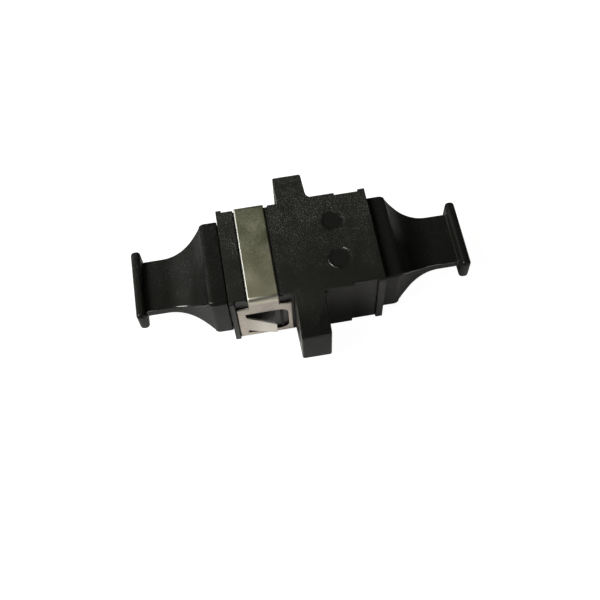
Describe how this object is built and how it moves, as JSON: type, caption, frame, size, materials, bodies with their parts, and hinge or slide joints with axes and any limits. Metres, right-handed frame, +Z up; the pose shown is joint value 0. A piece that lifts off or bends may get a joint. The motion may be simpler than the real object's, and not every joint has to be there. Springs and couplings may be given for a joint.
{
  "type": "mpo fibre adapter",
  "caption": "Flanged panel adapter that joins push-on multi-fibre connectors end to end, with a folded steel panel clip and a pull-off dust cap on each port.",
  "frame": {"origin": "middle of the underside of the body, halfway between the two ends", "axes": "+X along the adapter from the rear port to the front port, +Y across the two screw ears, +Z up, away from the underside"},
  "size_m": [0.0396, 0.0222, 0.0094],
  "materials": {
    "housing_plastic": "fine-grained matte black moulding",
    "hook_plastic": "smooth black moulding",
    "clip_steel": "rolled spring steel with bright cut edges",
    "cap_plastic": "smooth black moulding with a dull sheen"
  },
  "bodies": {
    "housing": {"rear_housing": "housing_plastic", "front_housing": "housing_plastic", "rear_latch_hooks": "hook_plastic", "front_latch_hooks": "hook_plastic", "panel_clip": "clip_steel"},
    "rear_cap": {"rear_dust_cap": "cap_plastic"},
    "front_cap": {"front_dust_cap": "cap_plastic"}
  },
  "joints": [
    {"name": "rear_cap_pull", "type": "slide", "parent": "housing", "child": "rear_cap", "axis": [-1, 0, 0], "range_m": [0, 0.012]},
    {"name": "front_cap_pull", "type": "slide", "parent": "housing", "child": "front_cap", "axis": [1, 0, 0], "range_m": [0, 0.012]}
  ]
}
